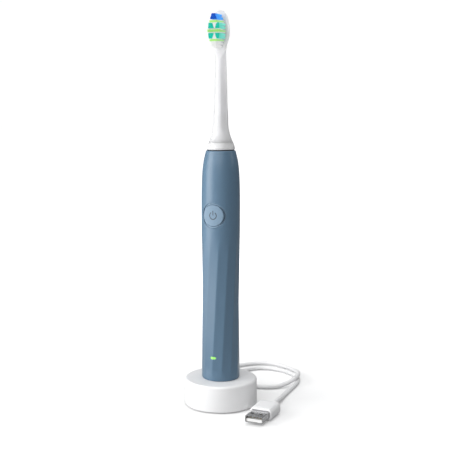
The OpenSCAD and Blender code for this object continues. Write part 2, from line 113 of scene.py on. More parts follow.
def rounded(points, n=6):
    """Closed or open outline [(a, b, radius)] with its corners turned into arcs."""
    out = []
    m = len(points)
    for i in range(m):
        p = Vector(points[i][:2])
        r = points[i][2] if len(points[i]) > 2 else 0
        a, b = Vector(points[i - 1][:2]), Vector(points[(i + 1) % m][:2])
        if r <= 0:
            out.append((p.x, p.y))
            continue
        u, v = (a - p), (b - p)
        la, lb = u.length, v.length
        u.normalize(), v.normalize()
        ang = math.acos(clamp(u.dot(v), -1, 1))
        d = min(r / math.tan(ang / 2), la * 0.49, lb * 0.49)
        r = d * math.tan(ang / 2)
        c = p + (u + v).normalized() * (r / math.sin(ang / 2))
        s, e = p + u * d - c, p + v * d - c
        a0, a1 = math.atan2(s.y, s.x), math.atan2(e.y, e.x)
        while a1 - a0 > math.pi:
            a1 -= 2 * math.pi
        while a1 - a0 < -math.pi:
            a1 += 2 * math.pi
        for k in range(n + 1):
            t = a0 + (a1 - a0) * k / n
            out.append((c.x + r * math.cos(t), c.y + r * math.sin(t)))
    return out


# ------------------------------------------------------------------ meshes
def mesh_piece(name, verts, faces, materials, body, hides=(), flat=(), index=None, sharp=None):
    """A piece from millimetre vertices."""
    me = bpy.data.meshes.new(name)
    me.from_pydata([(x * MM, y * MM, z * MM) for x, y, z in verts], [], faces)
    me.validate()
    me.shade_smooth()
    for m in materials:
        me.materials.append(m)
    if index:
        me.polygons.foreach_set("material_index", index)
    ob = bpy.data.objects.new(name, me)
    scene.collection.objects.link(ob)
    if sharp:
        me.set_sharp_from_angle(angle=math.radians(sharp))
    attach(ob, body)
    if hides:
        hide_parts(*hides)
    return ob


def revolve_rings(profile, seg):
    """Vertices and faces of a closed outline [(r, z)] turned about Z. Points on the axis become one vertex."""
    verts, faces, rows = [], [], []
    for r, z in profile:
        if r < 1e-6:
            rows.append([len(verts)] * seg)
            verts.append((0, 0, z))
        else:
            rows.append(list(range(len(verts), len(verts) + seg)))
            for i in range(seg):
                a = 2 * math.pi * i / seg
                verts.append((r * math.sin(a), -r * math.cos(a), z))
    k = len(rows)
    for s in range(k):
        a, b = rows[s], rows[(s + 1) % k]
        if a[0] == a[1] and b[0] == b[1]:
            continue
        for i in range(seg):
            j = (i + 1) % seg
            f = [a[i], a[j], b[j], b[i]]
            f = [v for n, v in enumerate(f) if v != f[n - 1]]
            if len(f) > 2:
                faces.append(f)
    return verts, faces


def revolve(name, profile, materials, body, hides=(), seg=160, sharp=40, index_of=None):
    verts, faces = revolve_rings(profile, seg)
    index = None
    if index_of:
        index = []
        for f in faces:
            zs = sum(verts[v][2] for v in f) / len(f)
            rs = sum(math.hypot(verts[v][0], verts[v][1]) for v in f) / len(f)
            index.append(index_of(rs, zs))
    return mesh_piece(name, verts, faces, materials, body, hides, index=index, sharp=sharp)


# ------------------------------------------------------------------ materials
def srgb(r, g, b):
    def lin(c):
        c /= 255
        return c / 12.92 if c <= 0.04045 else ((c + 0.055) / 1.055) ** 2.4
    return (lin(r), lin(g), lin(b))


class Mat:
    """A node material that is built up step by step."""

    def __init__(self, name):
        self.m = bpy.data.materials.new(name)
        self.m.use_nodes = True
        self.t = self.m.node_tree
        self.t.nodes.clear()
        self.out = self.t.nodes.new("ShaderNodeOutputMaterial")
        self.b = self.t.nodes.new("ShaderNodeBsdfPrincipled")
        self.t.links.new(self.b.outputs[0], self.out.inputs[0])
        self.coord = self.t.nodes.new("ShaderNodeTexCoord").outputs["Object"]
        self.height = None

    def set(self, **kw):
        for k, v in kw.items():
            s = self.b.inputs[k.replace("_", " ")]
            s.default_value = (*v, 1) if isinstance(v, tuple) and len(v) == 3 and s.type == "RGBA" else v
        return self

    def link(self, a, b):
        self.t.links.new(a, b)

    def at(self, scale=(1, 1, 1), turn=(0, 0, 0), shift=(0, 0, 0)):
        n = self.t.nodes.new("ShaderNodeMapping")
        n.inputs["Scale"].default_value = scale
        n.inputs["Rotation"].default_value = turn
        n.inputs["Location"].default_value = shift
        self.link(self.coord, n.inputs["Vector"])
        return n.outputs[0]

    def noise(self, scale, detail=3, rough=0.55, vec=None, distortion=0.0):
        n = self.t.nodes.new("ShaderNodeTexNoise")
        n.inputs["Scale"].default_value = scale
        n.inputs["Detail"].default_value = detail
        n.inputs["Roughness"].default_value = rough
        n.inputs["Distortion"].default_value = distortion
        self.link(vec or self.coord, n.inputs["Vector"])
        return n.outputs[0]

    def cells(self, scale, vec=None, feature="F1", randomness=1.0):
        n = self.t.nodes.new("ShaderNodeTexVoronoi")
        n.feature = feature
        n.inputs["Scale"].default_value = scale
        n.inputs["Randomness"].default_value = randomness
        self.link(vec or self.coord, n.inputs["Vector"])
        return n.outputs["Distance"]

    def wave(self, scale, axis="Z", distortion=0.0, vec=None, profile="SIN", kind="BANDS"):
        n = self.t.nodes.new("ShaderNodeTexWave")
        n.wave_type = kind
        if kind == "BANDS":
            n.bands_direction = axis
        else:
            n.rings_direction = axis
        n.wave_profile = profile
        n.inputs["Scale"].default_value = scale
        n.inputs["Distortion"].default_value = distortion
        n.inputs["Detail"].default_value = 2
        n.inputs["Detail Scale"].default_value = 1.5
        self.link(vec or self.coord, n.inputs["Vector"])
        return n.outputs[1]

    def ramp(self, fac, lo, hi, a=0.0, b=1.0):
        n = self.t.nodes.new("ShaderNodeMapRange")
        n.inputs["From Min"].default_value = a
        n.inputs["From Max"].default_value = b
        n.inputs["To Min"].default_value = lo
        n.inputs["To Max"].default_value = hi
        self.link(fac, n.inputs["Value"])
        return n.outputs[0]

    def mix(self, fac, c0, c1):
        n = self.t.nodes.new("ShaderNodeMix")
        n.data_type = "RGBA"
        self.link(fac, n.inputs[0])
        for s, c in ((n.inputs[6], c0), (n.inputs[7], c1)):
            if isinstance(c, tuple):
                s.default_value = (*c[:3], 1)
            else:
                self.link(c, s)
        return n.outputs[2]

    def math(self, op, a, b=None):
        n = self.t.nodes.new("ShaderNodeMath")
        n.operation = op
        for s, v in ((n.inputs[0], a), (n.inputs[1], b)):
            if v is None:
                continue
            if isinstance(v, (int, float)):
                s.default_value = v
            else:
                self.link(v, s)
        return n.outputs[0]

    def colour(self, sock):
        self.link(sock, self.b.inputs["Base Color"])
        return self

    def rough(self, sock):
        self.link(sock, self.b.inputs["Roughness"])
        return self

    def bump(self, sock, distance, strength=1.0):
        n = self.t.nodes.new("ShaderNodeBump")
        n.inputs["Strength"].default_value = strength
        n.inputs["Distance"].default_value = distance
        self.link(sock, n.inputs["Height"])
        if self.height:
            self.link(self.height, n.inputs["Normal"])
        self.height = n.outputs[0]
        self.link(self.height, self.b.inputs["Normal"])
        return self


def shade(c, k):
    return tuple(clamp(x * k) for x in c)


def plastic(name, c, rough, var=0.02, grain=2600, depth=0.000006, cloud=60, **kw):
    """Moulded plastic: a fine spark-eroded grain, and slow changes of tone and gloss."""
    m = Mat(name)
    slow = m.noise(cloud, 2)
    fine = m.noise(grain, 3, 0.6)
    m.colour(m.mix(m.ramp(slow, 0, 1, 0.3, 0.7), shade(c, 1 - var), shade(c, 1 + var * 0.6)))
    m.rough(m.ramp(m.math("ADD", fine, m.noise(cloud * 7, 3)), rough * 0.88, rough * 1.12, 0.7, 1.3))
    m.bump(fine, depth)
    m.set(**kw)
    return m.m


def metal(name, c, rough, stretch=(900, 900, 60), var=0.06, depth=0.000003, **kw):
    """Rolled or turned metal: fine lines along one direction, and slight blotches."""
    m = Mat(name)
    lines = m.noise(6, 4, 0.7, m.at(stretch))
    blot = m.noise(220, 3)
    m.colour(m.mix(m.ramp(m.math("ADD", lines, blot), 0, 1, 0.7, 1.3), shade(c, 1 - var), shade(c, 1 + var)))
    m.rough(m.ramp(lines, rough * 0.75, rough * 1.25, 0.3, 0.7))
    m.bump(lines, depth)
    m.set(Metallic=1.0, **kw)
    return m.m


MATS = {}


def make_materials():
    W = MATS
    W["puck_white"] = plastic("puck_white", (0.85, 0.85, 0.855), 0.36, var=0.012, grain=3200, depth=0.000004,
                              Coat_Weight=0.08, Coat_Roughness=0.25)
    W["cover_white"] = plastic("cover_white", (0.74, 0.74, 0.74), 0.5, var=0.02, grain=2200, depth=0.000008)
    W["plug_white"] = plastic("plug_white", (0.86, 0.86, 0.865), 0.42, var=0.015, grain=3000, depth=0.000006)
    W["tongue_white"] = plastic("tongue_white", (0.86, 0.86, 0.85), 0.35, var=0.01)
    W["bobbin_cream"] = plastic("bobbin_cream", (0.72, 0.66, 0.50), 0.5, var=0.03)
    W["chassis_grey"] = plastic("chassis_grey", (0.52, 0.53, 0.52), 0.5, var=0.03, grain=1800, depth=0.00001)
    m = Mat("head_white")      # translucent at the thin neck and plate, denser where the wall thickens at the foot; the foot is also painted paler, painted light that lifts its shade
    fine = m.noise(3600, 3, 0.6)
    parts = m.t.nodes.new("ShaderNodeSeparateXYZ")
    m.t.links.new(m.coord, parts.inputs[0])
    foot = m.ramp(parts.outputs["Z"], 1.0, 0.0, 0.182, 0.215)
    thin = m.mix(m.ramp(m.noise(60, 2), 0, 1, 0.3, 0.7), (0.548, 0.548, 0.558), (0.558, 0.558, 0.568))
    # the foot is painted paler than the neck: painted light that lifts its shade
    m.colour(m.mix(foot, thin, (0.63, 0.63, 0.64)))
    m.rough(m.ramp(m.math("ADD", fine, m.noise(420, 3)), 0.335, 0.425, 0.7, 1.3)).bump(fine, 0.000003)
    m.link(m.ramp(foot, 0.85, 0.62), m.b.inputs["Subsurface Weight"])
    m.set(Subsurface_Radius=(1.0, 1.0, 1.0), Subsurface_Scale=0.012)
    W["head_white"] = m.m
    W["ring_white"] = plastic("ring_white", (0.68, 0.68, 0.685), 0.28, var=0.008, grain=3600, depth=0.000003,
                              Subsurface_Weight=0.5, Subsurface_Radius=(1.0, 1.0, 1.0), Subsurface_Scale=0.008)

    m = Mat("lead_white")      # the sheath has slow changes of tone and a dust-fine grain
    slow, fine = m.noise(90, 3), m.noise(3800, 3, 0.6)
    m.colour(m.mix(m.ramp(slow, 0, 1, 0.3, 0.7), (0.84, 0.84, 0.845), (0.88, 0.88, 0.885)))
    m.rough(m.ramp(m.noise(600, 3), 0.42, 0.56, 0.3, 0.7)).bump(fine, 0.000008)
    m.set(Sheen_Weight=0.1, Sheen_Roughness=0.5, Subsurface_Weight=0.6, Subsurface_Radius=(1.0, 1.0, 1.0), Subsurface_Scale=0.0016)
    W["lead_white"] = m.m

    m = Mat("handle_blue")     # satin slate-blue, with a painted metallic glint: paler specks in its colour
    c = HANDLE
    painted_glint_specks = m.cells(5200)
    slow = m.noise(45, 2)
    fine = m.noise(3000, 3, 0.6)
    tone = m.mix(m.ramp(slow, 0, 1, 0.3, 0.7), shade(c, 0.975), shade(c, 1.015))
    # painted glint: paler specks mixed into the colour stand in for a metallic sparkle
    m.colour(m.mix(m.ramp(painted_glint_specks, 0.14, 0.0, 0.0, 0.5), tone, shade(c, 1.35)))
    m.rough(m.ramp(m.math("ADD", fine, m.noise(300, 3)), HANDLE_ROUGH - 0.035, HANDLE_ROUGH + 0.035, 0.7, 1.3))
    m.bump(fine, 0.000004).set(Metallic=HANDLE_METAL, Specular_IOR_Level=0.5)
    W["handle_blue"] = m.m

    m = Mat("button_blue")
    c = BUTTON
    slow, fine = m.noise(70, 2), m.noise(3400, 3, 0.6)
    m.colour(m.mix(m.ramp(slow, 0, 1, 0.3, 0.7), shade(c, 0.98), shade(c, 1.01)))
    m.rough(m.ramp(fine, 0.44, 0.56, 0.3, 0.7)).bump(fine, 0.000005)
    m.set(Metallic=0.0)
    W["button_blue"] = m.m
    W["button_icon"] = plastic("button_icon", shade(BUTTON, 0.26), 0.55, var=0.02, grain=3400, depth=0.000004)
    W["cap_blue"] = plastic("cap_blue", shade(HANDLE, 0.9), 0.55, var=0.03, grain=2400, depth=0.00001)

    m = Mat("lamp_green")      # a lit lens, with a little grain inside
    body = m.noise(900, 3)
    m.colour(m.mix(m.ramp(body, 0, 1, 0.3, 0.7), (0.25, 0.62, 0.12), (0.36, 0.78, 0.20)))
    glow = m.mix(m.ramp(body, 0, 1, 0.3, 0.7), (0.22, 0.70, 0.10), (0.36, 0.86, 0.20))
    m.link(glow, m.b.inputs["Emission Color"])
    m.set(Emission_Strength=0.38, Roughness=0.3).bump(m.noise(2600, 2), 0.000004)
    W["lamp_green"] = m.m

    W["foot_rubber"] = plastic("foot_rubber", (0.34, 0.345, 0.35), 0.78, var=0.06, grain=1500, depth=0.00003)
    W["seal_black"] = plastic("seal_black", (0.012, 0.012, 0.014), 0.55, var=0.2, grain=2200, depth=0.000012)
    W["component_black"] = plastic("component_black", (0.025, 0.025, 0.028), 0.45, var=0.15, grain=2600, depth=0.00001)
    W["ferrite_grey"] = plastic("ferrite_grey", (0.055, 0.055, 0.06), 0.6, var=0.15, grain=1400, depth=0.00003)

    for name, row in {"board_green": (0.012, 0.11, 0.05), "tag_board": (0.03, 0.13, 0.07)}.items():
        m = Mat(name)          # solder mask over copper tracks
        track = m.ramp(m.cells(420, feature="DISTANCE_TO_EDGE", randomness=0.85), 1, 0, 0.02, 0.05)
        weave = m.wave(1500, "X")
        m.colour(m.mix(track, row, (row[0] * 2.2, row[1] * 1.7, row[2] * 1.5)))
        m.rough(m.ramp(track, 0.34, 0.27)).bump(track, 0.00002).bump(weave, 0.000004)
        m.set(Coat_Weight=0.3, Coat_Roughness=0.2)
        W[name] = m.m

    m = Mat("coil_copper")     # enamelled wire, wound side by side; each winding painted bright at its crown and dark where it meets the next, painted highlight and shade
    wire_turns_shaded = m.wave(640, "Z", 0.15)
    slow = m.noise(300, 3)
    # painted shade between windings and painted highlight along each, with slow changes of tone
    m.colour(m.mix(m.ramp(m.math("MULTIPLY", wire_turns_shaded, slow), 0, 1, 0.05, 0.5), (0.22, 0.07, 0.025), (0.72, 0.32, 0.13)))
    m.rough(m.ramp(slow, 0.24, 0.36, 0.3, 0.7)).bump(wire_turns_shaded, 0.00006)
    m.set(Metallic=0.85, Coat_Weight=0.5, Coat_Roughness=0.15)
    W["coil_copper"] = m.m

    m = Mat("core_steel")      # stacked laminations
    lam = m.wave(420, "Z", 0.05, profile="TRI")
    rust = m.noise(500, 4)
    m.colour(m.mix(m.ramp(lam, 0, 1, 0.2, 0.8), (0.12, 0.12, 0.13), m.mix(rust, (0.30, 0.30, 0.31), (0.40, 0.39, 0.38))))
    m.rough(m.ramp(rust, 0.35, 0.5, 0.3, 0.7)).bump(lam, 0.00004).set(Metallic=0.9)
    W["core_steel"] = m.m

    m = Mat("bearing_bronze")  # sintered bronze, open-pored; each pore painted dark, painted shade inside it
    pores_painted_dark = m.ramp(m.cells(3600), 0, 1, 0.12, 0.3)
    # painted shade: the pits are darkened in colour
    m.colour(m.mix(pores_painted_dark, (0.10, 0.055, 0.02), (0.50, 0.31, 0.14)))
    m.rough(m.ramp(m.noise(900, 3), 0.38, 0.52, 0.3, 0.7)).bump(pores_painted_dark, 0.00002).set(Metallic=0.9)
    W["bearing_bronze"] = m.m

    m = Mat("cell_wrap")       # shrink sleeve, pulled tight over the cell
    crease = m.noise(3, 3, 0.6, m.at((260, 260, 30)), distortion=0.6)
    m.colour(m.mix(m.ramp(m.noise(80, 2), 0, 1, 0.3, 0.7), (0.22, 0.33, 0.08), (0.28, 0.40, 0.11)))
    m.rough(m.ramp(crease, 0.26, 0.38, 0.3, 0.7)).bump(crease, 0.00003)
    m.set(Coat_Weight=0.4, Coat_Roughness=0.12)
    W["cell_wrap"] = m.m

    W["plug_steel"] = metal("plug_steel", (0.60, 0.60, 0.61), 0.26, stretch=(500, 60, 500), var=0.05)
    W["screw_steel"] = metal("screw_steel", (0.46, 0.46, 0.48), 0.34, stretch=(300, 300, 300))
    W["shaft_steel"] = metal("shaft_steel", (0.58, 0.58, 0.60), 0.22, stretch=(60, 60, 1400))
    W["contact_gold"] = metal("contact_gold", (0.60, 0.50, 0.34), 0.34, stretch=(500, 60, 500))
    W["tab_nickel"] = metal("tab_nickel", (0.56, 0.54, 0.49), 0.3, stretch=(80, 500, 500))
    W["magnet_nickel"] = metal("magnet_nickel", (0.52, 0.52, 0.53), 0.18, stretch=(300, 300, 300), var=0.03)
    W["anchor_brass"] = metal("anchor_brass", (0.66, 0.48, 0.20), 0.3, stretch=(500, 500, 80))

    # colours of each filament's sides and cut tips; the paler sides and deeper tips are painted light
    for name, side, tip in (
        ("filament_blue", (0.09, 0.42, 0.98), (0.0, 0.085, 0.50)),
        ("filament_lime", (0.42, 0.74, 0.30), (0.42, 0.75, 0.22)),
        ("filament_teal", (0.24, 0.78, 0.68), (0.0, 0.52, 0.40)),
        ("filament_white", (0.84, 0.85, 0.84), (0.74, 0.75, 0.74)),
    ):
        m = Mat(name)          # nylon: its sides painted paler and its cut tips deeper, painted light for light passing through it
        n = m.t.nodes.new("ShaderNodeAttribute")
        n.attribute_name = "tip"
        tint = m.noise(700, 2)
        painted_side_and_tip = m.mix(n.outputs["Fac"], side, tip)
        m.colour(m.mix(m.ramp(tint, 0.0, 0.025, 0.3, 0.7), painted_side_and_tip, (0.9, 0.95, 0.93)))
        m.rough(m.ramp(tint, 0.62, 0.76, 0.3, 0.7)).bump(m.noise(6000, 2), 0.000004)
        # painted glow: each filament gives off its own colour, standing in for light passing through the nylon
        m.link(painted_side_and_tip, m.b.inputs["Emission Color"])
        m.set(Emission_Strength=0.12, Specular_IOR_Level=0.08)
        W[name] = m.m


HANDLE = (0.092, 0.164, 0.242)
HANDLE_ROUGH = 0.36
HANDLE_METAL = 0.0
BUTTON = (0.16, 0.245, 0.335)
make_materials()

# every CAD node takes the material of its slot; the ones below are then replaced by finer pieces
for part in frame["record"]["subparts"]:
    ob = frame["nodes"][part["node"]]
    ob.data.materials.clear()
    ob.data.materials.append(MATS[part["material_slot"]])
SHADE = {}


# ------------------------------------------------------------------ lead
ROUTE = [(-15.75, 27.28, 5.6), (-17.7, 30.65, 5.4), (-20.6, 36, 4.2), (-23.2, 42, 2.7),
         (-25.5, 49, 1.8), (-27, 57, 1.6), (-27.3, 65, 1.6), (-26.3, 73, 1.6), (-23.8, 80.5, 1.6),
         (-19.3, 87.5, 1.6), (-14, 93.5, 1.6), (-7.5, 97.5, 1.6), (0, 99, 1.6), (8, 97.3, 1.6),
         (15, 93, 1.7), (21, 87.5, 2.3), (26.5, 81, 3.5), (30.5, 74, 4.8), (33, 66, 5.1),
         (33, 58, 4.7), (30, 51, 3.2), (25.5, 45.5, 1.9), (19.5, 41.5, 1.6), (12, 39.2, 1.6),
         (4, 39.5, 1.6), (-3.5, 42, 1.6), (-9.5, 47, 1.6), (-13.5, 54, 1.6), (-15, 62, 1.6),
         (-14.3, 70, 1.6), (-11.3, 77.5, 1.6), (-6, 83, 1.6), (1, 86, 1.6), (8.5, 86, 1.6),
         (16, 84, 1.6), (22.7, 80, 1.6), (28.5, 74.5, 1.6), (32.5, 68, 1.6), (34.5, 61, 1.6),
         (35.2, 53, 1.6), (35.6, 44, 1.6), (36, 35, 1.6), (36.5, 26.5, 1.7), (37.4, 18.5, 2.3),
         (38.4, 10.5, 3.6), (39, 4.5, 4.1), (39, 0, 4.1)]
CABLE_R = 1.6


def through(points, step=0.9):
    """Points on one smooth curve through the given ones."""
    p = [Vector(q) for q in points]
    p = [p[0] * 2 - p[1]] + p + [p[-1] * 2 - p[-2]]
    out = []
    for i in range(1, len(p) - 2):
        a, b, c, d = p[i - 1:i + 3]
        n = max(2, round((c - b).length / step))
        ta, tc = (c - b).length / max((b - a).length, 1e-9), (c - b).length / max((d - c).length, 1e-9)
        m0 = (b - a) * ta * 0.5 + (c - b) * 0.5
        m1 = (c - b) * 0.5 + (d - c) * tc * 0.5
        for k in range(n):
            t = k / n
            out.append((2 * t ** 3 - 3 * t ** 2 + 1) * b + (t ** 3 - 2 * t ** 2 + t) * m0
                       + (-2 * t ** 3 + 3 * t ** 2) * c + (t ** 3 - t ** 2) * m1)
    out.append(p[-2])
    return out


def tube(path, radius, seg=20):
    """A closed round tube along a path, turned as little as possible as it goes."""
    verts, faces = [], []
    n = len(path)
    side = None
    for i, q in enumerate(path):
        d = (path[min(i + 1, n - 1)] - path[max(i - 1, 0)]).normalized()
        side = d.cross(Vector((0, 0, 1))) if side is None else side - d * side.dot(d)
        side.normalize()
        up = side.cross(d)
        r = radius(i / (n - 1)) if callable(radius) else radius
        for k in range(seg):
            a = 2 * math.pi * k / seg
            verts.append(tuple(q + (side * math.cos(a) + up * math.sin(a)) * r))
    for i in range(n - 1):
        for k in range(seg):
            j = (k + 1) % seg
            faces.append([i * seg + k, (i + 1) * seg + k, (i + 1) * seg + j, i * seg + j])
    faces.append([k for k in range(seg)])
    faces.append([(n - 1) * seg + seg - 1 - k for k in range(seg)])
    return verts, faces


gland_dir = Vector((math.cos(math.radians(120)), math.sin(math.radians(120)), 0))
path = through([tuple(gland_dir * 30 + Vector((0, 0, 5.6)))] + ROUTE[0:] + [(39, -1.2, 4.1)])
path = [Vector((q.x, q.y, max(q.z, CABLE_R))) for q in path]
v, f = tube(path, CABLE_R)
lead = mesh_piece("lead", v, f, [MATS["lead_white"]], "charger", ["usb_cable"], sharp=50)

# plug body: a rounded block that narrows at the back into a short sleeve round the lead
PX, PZ = 39.0, 4.1


def round_rect(w, h, r, n=8):
    out = []
    for cx, cz, a0 in ((w / 2 - r, h / 2 - r, 0), (-w / 2 + r, h / 2 - r, 90), (-w / 2 + r, -h / 2 + r, 180), (w / 2 - r, -h / 2 + r, 270)):
        for k in range(n + 1):
            a = math.radians(a0 + 90 * k / n)
            out.append((cx + r * math.cos(a), cz + r * math.sin(a)))
    return out


def loft_y(sections, close_first=True, close_last=True):
    """Rounded rectangles [(y, w, h, r)] joined along Y about the plug's axis."""
    verts, faces = [], []
    m = None
    for y, w, h, r in sections:
        ring = round_rect(w, h, min(r, w / 2 - 1e-4, h / 2 - 1e-4))
        m = len(ring)
        verts += [(PX + x, y, PZ + z) for x, z in ring]
    for s in range(len(sections) - 1):
        for i in range(m):
            j = (i + 1) % m
            faces.append([s * m + i, s * m + j, (s + 1) * m + j, (s + 1) * m + i])
    if close_first:
        faces.append(list(range(m - 1, -1, -1)))
    if close_last:
        faces.append([(len(sections) - 1) * m + i for i in range(m)])
    return verts, faces


body_sections = [(-16.4, 12.0, 4.5, 0.6), (-21.6, 12.0, 4.5, 0.6), (-22.0, 12.1, 4.6, 0.65), (-22.35, 12.5, 5.0, 0.9),
                 (-22.62, 13.2, 5.7, 1.4), (-22.72, 13.9, 6.5, 2.0), (-22.62, 14.7, 7.3, 2.5), (-22.3, 15.35, 7.95, 2.85),
                 (-21.8, 15.6, 8.2, 3.0), (-21.2, 15.62, 8.2, 3.0), (-20.95, 15.4, 8.0, 2.95), (-20.7, 15.4, 8.0, 2.95),
                 (-20.45, 15.6, 8.2, 3.0)]
body_sections += [(y, 15.6, 8.2, 3.0) for y in (-19, -16, -13, -10, -8)]
for k in range(1, 11):
    t = k / 10
    s = math.sin(t * math.pi / 2)
    c = 1 - math.cos(t * math.pi / 2)
    body_sections.append((-7.2 + 3.2 * s, lerp(15.6, 10.2, c), lerp(8.2, 5.4, c), lerp(3.0, 2.7, c)))
body_sections += [(-3.9, 7.4, 5.2, 2.6), (-3.6, 5.6, 5.1, 2.5), (-3.2, 5.2, 5.0, 2.49)]
for k in range(4):          # shallow rings in the sleeve
    y = -2.9 + k * 0.75
    body_sections += [(y, 4.95 - k * 0.17, 4.95 - k * 0.17, 2.4), (y + 0.15, 4.6 - k * 0.17, 4.6 - k * 0.17, 2.2),
                      (y + 0.4, 4.6 - k * 0.17, 4.6 - k * 0.17, 2.2), (y + 0.55, 4.9 - k * 0.17, 4.9 - k * 0.17, 2.3)]
body_sections += [(-0.05, 4.2, 4.2, 2.09), (0.0, 3.9, 3.9, 1.94)]
v, f = loft_y(body_sections)
plug_body = mesh_piece("plug_body", v, f, [MATS["plug_white"]], "charger", ["usb_overmould"], sharp=50)

# strain relief where the lead leaves the puck
relief = [(0, 21.2), (2.85, 21.2), (2.85, 22.4), (2.42, 22.6), (2.42, 24.9)]
for k in range(5):
    d = 25.2 + k * 1.15
    r = lerp(2.4, 2.12, k / 5)
    relief += [(r, d), (r - 0.32, d + 0.14), (r - 0.34, d + 0.42), (r - 0.02, d + 0.56)]
relief += [(2.06, 31.0), (1.98, 31.35), (1.8, 31.5), (0, 31.5)]
v, f = revolve_rings(relief, 48)
side = Vector((-gland_dir.y, gland_dir.x, 0))
v = [tuple(side * x + Vector((0, 0, 5.6 + y)) + gland_dir * z) for x, y, z in v]
gland = mesh_piece("strain_relief", v, f, [MATS["plug_white"]], "charger", ["cable_gland"], sharp=50)

# ------------------------------------------------------------------ charging puck
puck = rounded([
    (22.9, 0.6), (24.7, 0.6, 0.3), (25.1, 1.15, 0.5), (24.95, 18.5, 1.7), (5.5, 18.5, 0.9), (4.8, 19.2, 0.3),
    (4.8, 32.5, 0.9), (0, 32.5), (0, 31.3), (3.5, 31.3, 0.3), (3.5, 16.5), (22.9, 16.5, 0.6)], 8)
revolve("puck_shell", puck, [MATS["puck_white"]], "charger", ["charger_housing"], seg=256, sharp=40)

# ------------------------------------------------------------------ handle
PROFILE = [(18.6, 12.5), (19.1, 12.85), (20, 13.0), (22, 13.0), (25, 12.98), (28.8, 12.97),
           (33, 12.95), (38, 12.92), (45, 12.89), (52, 12.85), (60, 12.82), (68, 12.79), (76, 12.8),
           (84, 12.82), (92, 12.85), (100, 12.88), (106, 12.91), (112, 12.96), (117, 13.0), (121, 13.03),
           (129, 13.05), (137, 13.06), (144, 13.02), (149, 12.94), (153, 12.83), (157, 12.69),
           (161, 12.47), (164, 12.2), (167, 11.82), (169.5, 11.38), (171.5, 10.92), (173.2, 10.5),
           (174.4, 10.19), (175.0, 10.03), (175.35, 9.6)]
BTN_Z, LED_Z = 132.4, 34.8
PER = 10                       # columns in one facet
COLS = 12 * PER


def facet_w(z):
    return smooth((119 - z) / 16) * smooth((z - 20.5) / 7)


def edge_a(z):
    return 18.8 - 0.24 * (115 - min(z, 121))


def skin_r(a, z, out=0.0):
    """Distance from the axis to the outside of the handle, in the direction a degrees round from the front."""
    r = table(PROFILE, z)
    w = facet_w(z)
    t = ((a - edge_a(z)) / 30) % 1
    k = math.cos(math.radians(15)) / math.cos(math.radians((t - 0.5) * 30))
    return r * (1 - w + w * k) + out


def on_skin(a, z, out=0.0):
    q = skin_r(a, z, out)
    return (q * math.sin(math.radians(a)), -q * math.cos(math.radians(a)), z)


def front_skin(x, z, out=0.0):
    """The point of the handle's front at a given x and height."""
    a = 0.0
    for _ in range(12):
        a = math.degrees(math.asin(clamp(x / skin_r(a, z, out), -1, 1)))
    q = skin_r(a, z, out)
    return (x, -q * math.cos(math.radians(a)), z)


def front_bore(x, z):
    return (x, -math.sqrt(max(11.0 ** 2 - x * x, 0)), z)


def pill(dx, dz, half, r):
    """How far from the middle a long round hole's edge is, in a direction."""
    n = math.hypot(dx, dz)
    dx, dz = dx / n, dz / n
    flat = half - r
    if abs(dz) > 1e-9 and abs(dx) * r / abs(dz) <= flat:
        return r / abs(dz)
    b = abs(dx) * flat
    return b + math.sqrt(max(b * b - flat * flat + r * r, 0))


